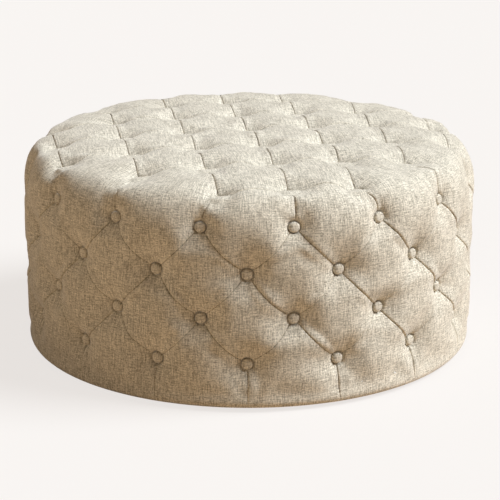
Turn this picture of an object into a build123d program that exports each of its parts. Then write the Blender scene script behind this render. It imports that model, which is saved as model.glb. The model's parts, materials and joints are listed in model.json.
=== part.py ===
"""Round button-tufted ottoman coffee table, modelled as the pieces that come apart on a bench.

The origin is at the middle of the footprint, on the floor, with +Z up. One upright line of
buttons points along +X, and the square grid of buttons on the top runs along X and Y.
"""

from build123d import *
from math import asin, atan2, cos, degrees, hypot, radians, sin, sqrt
import os

# Overall size
overall_diameter = 860.0
overall_height = 412.0
glide_height = 5.0

# Tufting pattern
seams_round = 16
row_count = 4
row_pitch = 82.5
lowest_row_height = 85.5
top_pitch = 122.0
grid_reach = 3
button_sink = 16.0
seam_sink = 7.0
seat_half = 12.5
fold_half = 1.2

# Rim and crown of the padding
rim_width = 50.0
rim_rise = 80.0
crown_drop = 18.0
crown_reach = 373.0
crown_power = 4
bottom_tuck = 8.0
bottom_roll = 14.0

# Layers
cover_thickness = 1.2
wadding_thickness = 6.0
dust_cover_thickness = 1.0
dust_cover_inset = 22.0
hem_width = 62.0

# Frame
panel_radius = 398.0
panel_thickness = 3.0
panel_joint_gap = 1.0
board_thickness = 15.0
base_ring_width = 80.0
pad_thickness = 54.0
post_count = 8
post_side = 38.0
batten_width = 40.0
batten_height = 20.0
batten_length = 520.0
rail_thickness = 12.0
rail_width = 60.0

# Buttons and ties
button_radius = 11.0
button_height = 6.0
button_skirt = 1.5
button_shell = 1.0
plate_thickness = 1.0
plate_clearance = 0.2
eye_radius = 2.0
eye_wire = 0.6
eye_clearance = 0.4
loop_radius = 1.3
tie_radius = 0.5
tie_clearance = 0.3
frame_tie_hole = 2.4
toggle_radius = 7.0
toggle_thickness = 1.6
knot_radius = 1.6

# Feet and fasteners
glide_radius = 16.0
glide_chamfer = 1.5
glide_inset = 53.0
glide_recess = 0.8
screw_radius = 2.0
screw_head_radius = 4.0
screw_head_height = 2.6
screw_tip = 3.0
screw_clearance = 0.1
frame_screw_length = 38.0
batten_screw_length = 30.0
panel_screw_length = 18.0
glide_screw_length = 16.0
panel_screw_inset = 26.0
batten_screw_inset = 60.0
staples_round = 32
staple_crown = 11.0
staple_wire = 0.7
staple_leg = 6.0
staple_inset = 12.0

# Worked out from the values above
overall_radius = overall_diameter / 2
seam_angle = 360 / seams_round
frame_bottom = glide_height + dust_cover_thickness + cover_thickness
base_top = frame_bottom + board_thickness
deck_top = overall_height - pad_thickness
deck_bottom = deck_top - board_thickness
panel_inner = panel_radius - panel_thickness
hem_bottom = frame_bottom - cover_thickness
hem_inner = panel_radius - hem_width
foam_inset = cover_thickness + wadding_thickness
row_heights = [lowest_row_height + row_pitch * i for i in reversed(range(row_count))]
rim_top = overall_height - crown_drop
rim_start = rim_top - rim_rise
rail_middle = (row_heights[1] + row_heights[2]) / 2
post_turn = seam_angle / 4
post_middle = sqrt(panel_inner**2 - (post_side / 2) ** 2) - post_side / 2
batten_middle = top_pitch / 2
eye_hole = eye_radius + eye_wire + eye_clearance
tie_hole = tie_radius + tie_clearance
overrun = 5.0
gap_shares = (0.0, 0.25, 0.5, 0.75, 1.0)
puff_shares = (0.0, 0.2, 0.5, 0.8, 1.0)
foot_fade_shares = (0.0, 0.0, 0.0, 0.3, 1.0)
rim_end_share = 0.985
seat_fade_power = 4
seam_fade_share = 0.5
dome_shares = (0.0, 0.5, 1.0)


def row_turn(row):
    """Angle of the first button in a row: every second row is turned by half a seam."""
    return 0.0 if row % 2 == 0 else seam_angle / 2


def polar(radius, angle):
    """Point in plan from a radius and an angle in degrees."""
    return (radius * cos(radians(angle)), radius * sin(radians(angle)))


pit_cells = [
    (i, j)
    for i in range(-grid_reach, grid_reach + 1)
    for j in range(-grid_reach, grid_reach + 1)
    if i * i + j * j <= grid_reach**2 + 1
]
rim_cells = [(i, j) for i, j in pit_cells if i * i + j * j >= grid_reach**2 - 1]
rim_angles = sorted(degrees(atan2(j, i)) % 360 for i, j in rim_cells)


def crest_radius(height, inset=0.0):
    """Radius of the padding's crest: straight in the middle, rolled in at rim and foot."""
    radius = overall_radius - inset
    roll = (height - rim_start) / (rim_rise - inset)
    if roll > 0:
        return radius - (rim_width - inset) * (1 - sqrt(max(0.0, 1 - roll**2)))
    tuck = 1 - (height - hem_bottom - inset) / bottom_roll
    if tuck > 0:
        return radius - bottom_tuck * tuck**2
    return radius


def crown_height(x, y, inset=0.0):
    """Height of the top's crest at a place in plan, level beyond the drum itself."""
    radius = min(hypot(x, y), overall_radius)
    return overall_height - inset - crown_drop * (radius / crown_reach) ** crown_power


def seam_depth(share):
    """Depth of a seam below the crest, at a share of the way from one button to the next."""
    return seam_sink + (button_sink - seam_sink) * (2 * share - 1) ** 2


def ring_of_arcs(edge, pairs):
    """Closed ring of arcs: each pair is a narrow arc round a seam and the puff beyond it."""
    arcs = []
    for k, (middle, spread, narrow, wide) in enumerate(pairs):
        following, following_spread = pairs[(k + 1) % len(pairs)][:2]
        if following < middle:
            following += 360
        low, high = polar(edge, middle - spread), polar(edge, middle + spread)
        next_low = polar(edge, following - following_spread)
        crest_angle = (middle + spread + following - following_spread) / 2
        arcs.append((low, polar(narrow, middle), high))
        arcs.append((high, polar(wide, crest_angle), next_low))
    return arcs


def crossing_arcs(height, share, row, inset):
    """Section below a row of buttons, at a share of the way down to the row beneath it."""
    crest = crest_radius(height, inset)
    seat_turn = degrees((seat_half + inset) / (overall_radius - button_sink))
    spread = seat_turn + (seam_angle / 2 - 2 * seat_turn) * share
    above = (crest_radius(row_heights[row], inset) - crest) * (1 - share) ** seat_fade_power
    below = 0.0
    if row + 1 < row_count:
        beneath = crest_radius(row_heights[row + 1], inset)
        below = (beneath - crest) * share**seat_fade_power
    edge = crest - seam_depth(share) + above + below
    upper = crest - max(0.0, seam_depth(share) - button_sink * share**2) + above
    lower = crest - max(0.0, seam_depth(share) - button_sink * (1 - share) ** 2) + below
    turn = row_turn(row)
    return ring_of_arcs(edge, [
        (turn + k * seam_angle, spread, upper, lower) for k in range(seams_round)
    ])


def upright_arcs(height, fade, row, lean, inset):
    """Section through upright seams, which run out of a row of buttons as the fade goes to 0."""
    crest = crest_radius(height, inset)
    seat_turn = degrees((seat_half + inset) / (overall_radius - button_sink))
    fold_turn = degrees((fold_half + inset) / overall_radius)
    spread = fold_turn + (seat_turn - fold_turn) * fade
    roll = max(0.0, (height - rim_start) / (rim_rise - inset))
    slope = (rim_width - inset) / (rim_rise - inset) * roll / sqrt(1 - roll**2)
    seam = seam_sink * sqrt(1 + slope**2) * (1 - fade) + button_sink * fade
    shift = (crest_radius(row_heights[row], inset) - crest) * fade**2
    edge = crest - seam + shift
    angles = [row_turn(row) + k * seam_angle for k in range(seams_round)]
    if lean:
        angles = [a + (b - a) * lean for a, b in zip(angles, rim_angles)]
    return ring_of_arcs(edge, [(angle, spread, edge, crest) for angle in angles])


def side_levels(inset):
    """Sections of the side from the foot up to the deck: each group is one smooth stretch."""
    reach = seat_half + inset
    last = row_count - 1
    foot = hem_bottom + inset
    rolled = foot + bottom_roll
    start = row_heights[last] - reach
    heights = [foot, (foot + rolled) / 2, rolled, (rolled + start) / 2, start]
    groups = [[
        (z, upright_arcs(z, fade, last, 0.0, inset)) for z, fade in zip(heights, foot_fade_shares)
    ]]
    for row in reversed(range(row_count)):
        low, high = row_heights[row] - reach, row_heights[row] + reach
        groups.append([(z, crossing_arcs(z, 0.0, row, inset)) for z in (low, high)])
        if row:
            gap = row_pitch - 2 * reach
            groups.append([
                (high + gap * s, crossing_arcs(high + gap * s, 1 - s, row - 1, inset))
                for s in gap_shares
            ])
    if high < deck_top:
        groups.append([
            (high, upright_arcs(high, 1.0, 0, 0.0, inset)),
            (deck_top, upright_arcs(deck_top, seam_fade_share, 0, 0.0, inset)),
        ])
    return groups


def rim_levels(inset):
    """Sections of the rolled rim, from the deck up: the seams lean towards the top's buttons."""
    first = asin((deck_top - rim_start) / (rim_rise - inset))
    last = asin(rim_end_share)
    levels = []
    for share in puff_shares:
        height = rim_start + (rim_rise - inset) * sin(first + (last - first) * share)
        fade = seam_fade_share * (1 - share) ** 2
        levels.append((height, upright_arcs(height, fade, 0, share**2, inset)))
    return [levels]


def stacked(groups, cap_height=0.0):
    """Solid lofted through groups of level sections, with its top drawn up to a cap."""
    with BuildPart() as form:
        for group in groups:
            for height, arcs in group:
                with BuildSketch(Plane.XY.offset(height)):
                    with BuildLine():
                        for start, middle, end in arcs:
                            ThreePointArc(start, middle, end)
                    make_face()
            loft(clean=False)
        if cap_height:
            extrude(form.faces().sort_by(Axis.Z)[-1], amount=cap_height, clean=False)
    return form.part


def grid_arcs(column, share, inset):
    """Crowned section across the top, at a share of the way from one button line to the next."""
    x = (column + share) * top_pitch
    arcs = []
    knots = []
    for j in range(-grid_reach - 1, grid_reach + 2):
        first, second = (column, j) in pit_cells, (column + 1, j) in pit_cells
        depth = seam_sink if first and second else fold_half
        depth += (button_sink - depth) * max(0.0, 1 - 2 * share) ** 2 * first
        depth += (button_sink - depth) * max(0.0, 2 * share - 1) ** 2 * second
        y = j * top_pitch
        knots.append((y, crown_height(x, y, inset) - depth))
    for j, (start, end) in enumerate(zip(knots, knots[1:]), -grid_reach - 1):
        near = column if share < 1 / 2 else column + 1
        joined = (near, j) in pit_cells and (near, j + 1) in pit_cells
        y = (j + 1 / 2) * top_pitch
        depth = seam_sink * (2 * share - 1) ** 2 * joined
        arcs.append((start, (y, crown_height(x, y, inset) - depth), end))
    return arcs


def grid_form(inset):
    """Crowned block with the square puffs of the top, far wider than the drum."""
    with BuildPart() as block:
        for column in range(-grid_reach - 1, grid_reach + 1):
            for share in gap_shares:
                arcs = grid_arcs(column, share, inset)
                with BuildSketch(Plane.YZ.offset((column + share) * top_pitch)):
                    with BuildLine():
                        for start, middle, end in arcs:
                            ThreePointArc(start, middle, end)
                        first, last = arcs[0][0], arcs[-1][2]
                        Polyline(last, (last[0], deck_bottom), (first[0], deck_bottom), first)
                    make_face()
            loft(clean=False)
    return block.part


def top_seat(i, j):
    """Height of the flat seat under a button on the top."""
    return crown_height(i * top_pitch, j * top_pitch) - button_sink


def side_seat(row):
    """Radius of the upright seat under the buttons of a row."""
    return crest_radius(row_heights[row]) - button_sink


def top_form(inset):
    """Padding above the deck: the rolled rim and the square puffs together, with flat seats."""
    rolled = stacked(rim_levels(inset), pad_thickness)
    grid = grid_form(inset)
    with BuildPart() as form:
        add(rolled)
        add(grid, mode=Mode.INTERSECT)
        for i, j in pit_cells:
            with BuildSketch(Plane.XY.offset(top_seat(i, j) - inset)):
                with Locations((i * top_pitch, j * top_pitch)):
                    Circle(seat_half + inset)
            extrude(amount=button_sink + overrun, mode=Mode.SUBTRACT, clean=False)
    return form.part


def radial_plane(radius, angle, height):
    """Plane that faces straight out from the middle."""
    outward = (cos(radians(angle)), sin(radians(angle)), 0)
    along = (-outward[1], outward[0], 0)
    return Plane(origin=(*polar(radius, angle), height), x_dir=along, z_dir=outward)


def level_planes(radius, turn, count, height, facing=1):
    """Planes spaced evenly round a circle, facing up or down, with X along the circle."""
    planes = []
    for k in range(count):
        angle = turn + k * 360 / count
        along = (-sin(radians(angle)), cos(radians(angle)), 0)
        place = (*polar(radius, angle), height)
        planes.append(Plane(origin=place, x_dir=along, z_dir=(0, 0, facing)))
    return planes


def row_planes(row, radius):
    """Planes of one row of buttons, at a radius."""
    angles = [row_turn(row) + k * seam_angle for k in range(seams_round)]
    return [radial_plane(radius, angle, row_heights[row]) for angle in angles]


def copies(piece, places):
    """Separate copies of one piece, each standing on a plane."""
    with BuildPart() as group:
        with Locations(*places):
            add(piece)
    return group.part


def rod(radius, length):
    """Plain rod for cutting holes, from a little above its plane to a length below it."""
    with BuildPart() as bar:
        with BuildSketch(Plane.XY.offset(overrun)):
            Circle(radius)
        extrude(amount=-length - overrun)
    return bar.part


def screw(length, clearance=0.0):
    """Countersunk screw with its head flush with its plane and its shank below."""
    head, shank = screw_head_radius + clearance, screw_radius + clearance
    with BuildPart() as turned:
        with BuildSketch(Plane.XZ):
            with BuildLine():
                Polyline(
                    (0, 0), (head, 0), (shank, -screw_head_height),
                    (shank, screw_tip - length), (0, -length - clearance), (0, 0),
                )
            make_face()
        revolve(axis=Axis.Z)
    return turned.part


def staple(clearance=0.0):
    """Wire staple with its crown above its plane and two legs below."""
    with BuildPart() as wire:
        with BuildSketch():
            Rectangle(staple_crown + 2 * clearance, staple_wire + 2 * clearance)
        extrude(amount=staple_wire)
        with BuildSketch():
            with GridLocations(staple_crown - staple_wire, 0, 2, 1):
                Rectangle(staple_wire + 2 * clearance, staple_wire + 2 * clearance)
        extrude(amount=-staple_leg - clearance)
    return wire.part


def dome_point(radius, rise, share):
    """Point on a shallow round dome, at a share of the way out from its middle."""
    sphere = (radius**2 + rise**2) / (2 * rise)
    out = radius * share
    return (out, button_skirt + sqrt(sphere**2 - out**2) - sphere + rise)


def dome_arc(radius, rise, outward):
    """Arc over a dome, from its middle to its edge or back."""
    shares = dome_shares if outward else tuple(reversed(dome_shares))
    return ThreePointArc(*[dome_point(radius, rise, share) for share in shares])


def button_cap():
    """Cap of a covered button: an upright skirt and a domed shell."""
    inner = button_radius - button_shell
    rise = button_height - button_skirt
    with BuildPart() as cap:
        with BuildSketch(Plane.XZ):
            with BuildLine():
                dome_arc(inner, rise - button_shell, True)
                Polyline((inner, button_skirt), (inner, 0), (button_radius, 0),
                         (button_radius, button_skirt))
                dome_arc(button_radius, rise, False)
                Line((0, button_height), (0, button_height - button_shell))
            make_face()
        revolve(axis=Axis.Z)
    return cap.part


def button_plate():
    """Back plate that closes a button's cap."""
    with BuildPart() as plate:
        with BuildSketch():
            Circle(button_radius - button_shell - plate_clearance)
        extrude(amount=plate_thickness)
    return plate.part


def button_eye():
    """Half ring of wire under a button's plate, for its tie."""
    with BuildPart() as eye:
        with BuildSketch():
            with Locations((eye_radius, 0)):
                Circle(eye_wire)
        revolve(axis=Axis.Y, revolution_arc=180)
    return eye.part


def tie(length):
    """Twine looped through a button's eye, run down to its toggle and knotted behind it."""
    loop_bottom = eye_radius + loop_radius
    knot_depth = length + sqrt(knot_radius**2 - tie_hole**2)
    with BuildPart() as twine:
        with BuildSketch(Plane.XZ):
            with Locations((0, -loop_bottom)):
                Circle(tie_radius)
        revolve(axis=Axis((0, 0, -eye_radius), (1, 0, 0)))
        with BuildSketch(Plane.XY.offset(-loop_bottom)):
            Circle(tie_radius)
        extrude(amount=loop_bottom - knot_depth)
        with Locations((0, 0, -knot_depth)):
            Sphere(knot_radius)
    return twine.part


def toggle():
    """Washer that a tie is knotted behind, lying below its plane."""
    with BuildPart() as washer:
        with BuildSketch():
            Circle(toggle_radius)
            Circle(tie_hole, mode=Mode.SUBTRACT)
        extrude(amount=-toggle_thickness)
    return washer.part


# Where everything sits
toggle_face = sqrt(panel_inner**2 - toggle_radius**2)
top_planes = [
    Plane.XY.offset(top_seat(i, j)).move(Location((i * top_pitch, j * top_pitch, 0)))
    for i, j in pit_cells
]
side_planes = [plane for row in range(row_count) for plane in row_planes(row, side_seat(row))]
post_angles = [post_turn + k * 360 / post_count for k in range(post_count)]
glide_turn = post_turn + 180 / post_count
glide_radius_middle = panel_radius - glide_inset
dust_cover_radius = panel_radius - dust_cover_inset
base_screw_planes = level_planes(post_middle, post_turn, post_count, frame_bottom, -1)
deck_screw_planes = level_planes(post_middle, post_turn, post_count, deck_top)
glide_planes = level_planes(glide_radius_middle, glide_turn, post_count, 0, -1)
glide_screw_planes = [plane.offset(-glide_recess) for plane in glide_planes]
staple_planes = level_planes(
    dust_cover_radius - staple_inset, 0, staples_round, glide_height, -1
)
batten_screw_planes = [
    Plane(origin=(x, y, deck_top))
    for x in (batten_screw_inset - batten_length / 2, 0, batten_length / 2 - batten_screw_inset)
    for y in (-batten_middle, batten_middle)
]
panel_screw_heights = (base_top + panel_screw_inset, rail_middle, deck_bottom - panel_screw_inset)
panel_screw_turn = degrees(post_side / 4 / panel_radius)
panel_screw_planes = [
    radial_plane(panel_radius - screw_clearance, angle + side * panel_screw_turn, height)
    for angle in post_angles
    for side in (-1, 1)
    for height in panel_screw_heights
]

# Shared cutters
frame_screw_cutter = screw(frame_screw_length, screw_clearance)
base_screw_cutters = copies(frame_screw_cutter, base_screw_planes)
deck_screw_cutters = copies(frame_screw_cutter, deck_screw_planes)
batten_screw_cutters = copies(screw(batten_screw_length, screw_clearance), batten_screw_planes)
panel_screw_cutters = copies(screw(panel_screw_length, screw_clearance), panel_screw_planes)
glide_screw_cutters = copies(screw(glide_screw_length, screw_clearance), glide_screw_planes)
staple_cutters = copies(staple(screw_clearance), staple_planes)
top_eye_cutters = copies(rod(eye_hole, pad_thickness), top_planes)
side_eye_cutters = copies(rod(eye_hole, overall_radius - panel_inner), side_planes)
deck_hole_cutters = copies(rod(frame_tie_hole, pad_thickness + board_thickness), top_planes)
panel_hole_cutters = copies(rod(frame_tie_hole, overall_radius - panel_inner), side_planes)

with BuildPart() as posts:
    with BuildSketch(Plane.XY.offset(base_top)):
        with PolarLocations(post_middle, post_count, start_angle=post_turn):
            Rectangle(post_side, post_side)
    extrude(amount=deck_bottom - base_top)
    add(base_screw_cutters, mode=Mode.SUBTRACT)
    add(deck_screw_cutters, mode=Mode.SUBTRACT)
    add(panel_screw_cutters, mode=Mode.SUBTRACT)

with BuildPart() as base_ring:
    with BuildSketch(Plane.XY.offset(frame_bottom)):
        Circle(panel_inner)
        Circle(panel_inner - base_ring_width, mode=Mode.SUBTRACT)
    extrude(amount=board_thickness)
    add(base_screw_cutters, mode=Mode.SUBTRACT)
    add(glide_screw_cutters, mode=Mode.SUBTRACT)
    add(staple_cutters, mode=Mode.SUBTRACT)

with BuildPart() as middle_ring:
    with BuildSketch(Plane.XY.offset(rail_middle - rail_thickness / 2)):
        Circle(panel_inner)
        Circle(panel_inner - rail_width, mode=Mode.SUBTRACT)
        with PolarLocations(post_middle + overrun, post_count, start_angle=post_turn):
            Rectangle(post_side + 2 * overrun, post_side, mode=Mode.SUBTRACT)
    extrude(amount=rail_thickness)

with BuildPart() as battens:
    with BuildSketch(Plane.XY.offset(deck_bottom)):
        with GridLocations(0, 2 * batten_middle, 1, 2):
            Rectangle(batten_length, batten_width)
    extrude(amount=-batten_height)
    add(batten_screw_cutters, mode=Mode.SUBTRACT)

with BuildPart() as deck_board:
    with BuildSketch(Plane.XY.offset(deck_bottom)):
        Circle(panel_inner)
    extrude(amount=board_thickness)
    add(deck_hole_cutters, mode=Mode.SUBTRACT)
    add(deck_screw_cutters, mode=Mode.SUBTRACT)
    add(batten_screw_cutters, mode=Mode.SUBTRACT)

with BuildPart() as panel_tube:
    with BuildSketch(Plane.XY.offset(frame_bottom)):
        Circle(panel_radius)
        Circle(panel_inner, mode=Mode.SUBTRACT)
    extrude(amount=deck_top - frame_bottom)
    add(panel_hole_cutters, mode=Mode.SUBTRACT)
    add(panel_screw_cutters, mode=Mode.SUBTRACT)

across = (-sin(radians(post_turn)), cos(radians(post_turn)), 0)
panel_joint = Plane(origin=(0, 0, 0), z_dir=across)

with BuildPart() as panel_left:
    add(panel_tube.part)
    split(bisect_by=panel_joint.offset(panel_joint_gap / 2), keep=Keep.TOP)

with BuildPart() as panel_right:
    add(panel_tube.part)
    split(bisect_by=panel_joint.offset(-panel_joint_gap / 2), keep=Keep.BOTTOM)

# Tufted layers, from the cover inwards
insets = (0.0, cover_thickness, foam_inset)
side_forms = [stacked(side_levels(inset)) for inset in insets]
top_forms = [top_form(inset) for inset in insets]

with BuildPart() as side_cover:
    add(side_forms[0])
    add(side_forms[1], mode=Mode.SUBTRACT)
    with BuildSketch(Plane.XY.offset(glide_height)):
        Circle(hem_inner)
    extrude(amount=frame_bottom, mode=Mode.SUBTRACT)
    add(side_eye_cutters, mode=Mode.SUBTRACT)
    add(glide_screw_cutters, mode=Mode.SUBTRACT)
    add(staple_cutters, mode=Mode.SUBTRACT)

with BuildPart() as side_wadding:
    add(side_forms[1])
    add(side_forms[2], mode=Mode.SUBTRACT)
    with BuildSketch(Plane.XY.offset(glide_height)):
        Circle(panel_radius)
    extrude(amount=overall_height, mode=Mode.SUBTRACT)
    add(side_eye_cutters, mode=Mode.SUBTRACT)

with BuildPart() as side_foam:
    add(side_forms[2])
    with BuildSketch(Plane.XY.offset(glide_height)):
        Circle(panel_radius)
    extrude(amount=overall_height, mode=Mode.SUBTRACT)
    add(side_eye_cutters, mode=Mode.SUBTRACT)

with BuildPart() as top_cover:
    add(top_forms[0])
    add(top_forms[1], mode=Mode.SUBTRACT)
    add(top_eye_cutters, mode=Mode.SUBTRACT)

with BuildPart() as top_wadding:
    add(top_forms[1])
    add(top_forms[2], mode=Mode.SUBTRACT)
    add(top_eye_cutters, mode=Mode.SUBTRACT)

with BuildPart() as top_foam:
    add(top_forms[2])
    add(top_eye_cutters, mode=Mode.SUBTRACT)

with BuildPart() as dust_cover:
    with BuildSketch(Plane.XY.offset(glide_height)):
        Circle(dust_cover_radius)
    extrude(amount=dust_cover_thickness)
    add(glide_screw_cutters, mode=Mode.SUBTRACT)
    add(staple_cutters, mode=Mode.SUBTRACT)

with BuildPart() as glide:
    with BuildSketch():
        Circle(glide_radius)
    extrude(amount=-glide_height)
    chamfer(glide.edges().sort_by(Axis.Z)[-1], glide_chamfer)
    add(screw(glide_screw_length, screw_clearance).moved(Location((0, 0, -glide_recess))),
        mode=Mode.SUBTRACT)
    with BuildSketch(Plane.XY.offset(-glide_recess)):
        Circle(screw_head_radius + screw_clearance)
    extrude(amount=glide_recess, mode=Mode.SUBTRACT)

# Pieces written as they are, by the name of their file
pieces = {
    "base_ring": base_ring.part,
    "middle_ring": middle_ring.part,
    "deck_board": deck_board.part,
    "deck_battens": battens.part,
    "upright_posts": posts.part,
    "side_panel_left": panel_left.part,
    "side_panel_right": panel_right.part,
    "side_foam": side_foam.part,
    "side_wadding": side_wadding.part,
    "side_cover": side_cover.part,
    "top_foam": top_foam.part,
    "top_wadding": top_wadding.part,
    "top_cover": top_cover.part,
    "dust_cover": dust_cover.part,
    "glides": copies(glide.part, glide_planes),
    "glide_screws": copies(screw(glide_screw_length), glide_screw_planes),
    "base_screws": copies(screw(frame_screw_length), base_screw_planes),
    "deck_screws": copies(screw(frame_screw_length), deck_screw_planes),
    "batten_screws": copies(screw(batten_screw_length), batten_screw_planes),
    "panel_screws": copies(screw(panel_screw_length), panel_screw_planes),
    "staples": copies(staple(), staple_planes),
    "top_button_caps": copies(button_cap(), top_planes),
    "top_button_plates": copies(button_plate(), top_planes),
    "top_button_eyes": copies(button_eye(), top_planes),
    "top_toggles": copies(toggle(), [
        Plane(origin=(plane.origin.X, plane.origin.Y, deck_bottom)) for plane in top_planes
    ]),
}

with BuildPart() as top_ties:
    for plane in top_planes:
        with Locations(plane):
            add(tie(plane.origin.Z - deck_bottom + toggle_thickness))
pieces["top_ties"] = top_ties.part

for row in range(row_count):
    planes = row_planes(row, side_seat(row))
    behind = row_planes(row, toggle_face)
    label = f"row_{row + 1}"
    pieces[f"{label}_button_caps"] = copies(button_cap(), planes)
    pieces[f"{label}_button_plates"] = copies(button_plate(), planes)
    pieces[f"{label}_button_eyes"] = copies(button_eye(), planes)
    pieces[f"{label}_ties"] = copies(tie(side_seat(row) - toggle_face + toggle_thickness), planes)
    pieces[f"{label}_toggles"] = copies(toggle(), behind)

os.makedirs("parts", exist_ok=True)
for name, piece in pieces.items():
    piece.label = name
    export_step(piece, f"parts/{name}.step")
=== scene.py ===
"""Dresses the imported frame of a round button-tufted ottoman: linen, padding, buttons and studio."""

from __future__ import annotations

import json
import logging
import math
from dataclasses import dataclass, field, replace
from enum import Enum
from typing import ClassVar

import bpy
import numpy as np
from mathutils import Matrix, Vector, kdtree

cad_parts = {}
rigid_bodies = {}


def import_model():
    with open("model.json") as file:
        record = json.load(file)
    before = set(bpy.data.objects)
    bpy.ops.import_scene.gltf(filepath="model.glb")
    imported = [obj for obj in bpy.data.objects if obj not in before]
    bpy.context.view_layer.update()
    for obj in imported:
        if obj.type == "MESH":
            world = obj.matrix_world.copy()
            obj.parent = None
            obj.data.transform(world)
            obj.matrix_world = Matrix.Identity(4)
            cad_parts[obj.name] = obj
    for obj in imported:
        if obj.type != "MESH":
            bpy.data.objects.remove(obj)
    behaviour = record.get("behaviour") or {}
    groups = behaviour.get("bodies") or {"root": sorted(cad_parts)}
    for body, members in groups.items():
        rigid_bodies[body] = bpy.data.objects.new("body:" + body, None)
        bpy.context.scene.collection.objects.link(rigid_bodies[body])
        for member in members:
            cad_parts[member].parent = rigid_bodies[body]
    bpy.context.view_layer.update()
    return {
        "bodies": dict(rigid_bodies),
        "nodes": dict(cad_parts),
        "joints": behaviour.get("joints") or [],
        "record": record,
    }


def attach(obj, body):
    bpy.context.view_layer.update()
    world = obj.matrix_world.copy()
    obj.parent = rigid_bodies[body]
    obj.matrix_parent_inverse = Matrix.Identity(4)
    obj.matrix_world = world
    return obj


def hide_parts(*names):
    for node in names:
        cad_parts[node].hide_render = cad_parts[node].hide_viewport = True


log = logging.getLogger("ottoman")

Colour = tuple[float, float, float]
Outline = tuple[tuple[float, float], ...]
Spot = tuple
Piece = bpy.types.Object
Socket = bpy.types.NodeSocket

BODY = "root"
SEED = 16
MERGE_DIGITS = 6
BLOCK = 4096
TINY = 1e-12
NUMBER = "NodeSocketFloat"
VECTOR = "NodeSocketVector"


def fade(gap: np.ndarray, reach: float) -> np.ndarray:
    """Rises from 0 at no distance towards 1 past a reach."""
    return 1.0 - np.exp(-gap / reach)


def bell(gap: np.ndarray, width: float) -> np.ndarray:
    """Falls from 1 at no distance to 0 past a width."""
    return np.exp(-((gap / width) ** 2))


def tree_of(points: np.ndarray) -> kdtree.KDTree:
    """Sorts points for quick searches.

    Args:
        points: The points, three numbers each.

    Returns:
        The balanced tree, which knows each point by its number.
    """
    tree = kdtree.KDTree(len(points))
    for index, point in enumerate(points):
        tree.insert(point, index)
    tree.balance()
    return tree


def weld(places: np.ndarray) -> tuple[np.ndarray, np.ndarray]:
    """Finds the places that lie on one another.

    Args:
        places: Places on the drum, as complex numbers.

    Returns:
        The number of the first place of each kind, and for every place the kind that it is of.
    """
    keys = np.round(np.stack([places.real, places.imag], axis=1), MERGE_DIGITS) + 0.0
    first, joined = np.unique(keys, axis=0, return_index=True, return_inverse=True)[1:]
    return first, joined.ravel()


def grid_faces(index: np.ndarray) -> np.ndarray:
    """Gives the quads of a grid of point numbers."""
    quad = [index[:-1, :-1], index[1:, :-1], index[1:, 1:], index[:-1, 1:]]
    return np.stack([part.ravel() for part in quad], axis=1)


def ring_faces(rings: np.ndarray) -> np.ndarray:
    """Gives the quads of rings of points, one ring in each row, each closed on itself."""
    index = np.arange(rings.size).reshape(rings.shape)
    return grid_faces(np.hstack([index, index[:, :1]]))


def ripples(
    points: np.ndarray, seed: int, count: int, length: float, spread: tuple[float, float]
) -> np.ndarray:
    """Adds up waves that run in many directions, the same ones at the same place.

    Args:
        points: Where the waves are wanted.
        seed: The seed of the random draws.
        count: How many waves there are.
        length: The usual length of a wave, in metres.
        spread: The least and the greatest share by which a wave is closer than that.

    Returns:
        One height for each point, mostly between -1 and 1.
    """
    rng = np.random.default_rng(seed)
    total = np.zeros(len(points))
    for _ in range(count):
        way = rng.normal(size=3)
        way *= rng.uniform(*spread) * math.tau / length / np.linalg.norm(way)
        total += np.sin(points @ way + rng.uniform(0.0, math.tau))
    return total / math.sqrt(count)


class Seam(Enum):
    """Where a seam of the cover runs, which says how its fold lies."""

    TOP_ACROSS = "top_across"
    TOP_ALONG = "top_along"
    RIM = "rim"
    SIDE = "side"
    FOOT = "foot"
    NONE = "none"


class Zone(Enum):
    """Which of the two linen pieces a cell of the cover is cut from."""

    TOP = "top"
    SIDE = "side"


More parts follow.
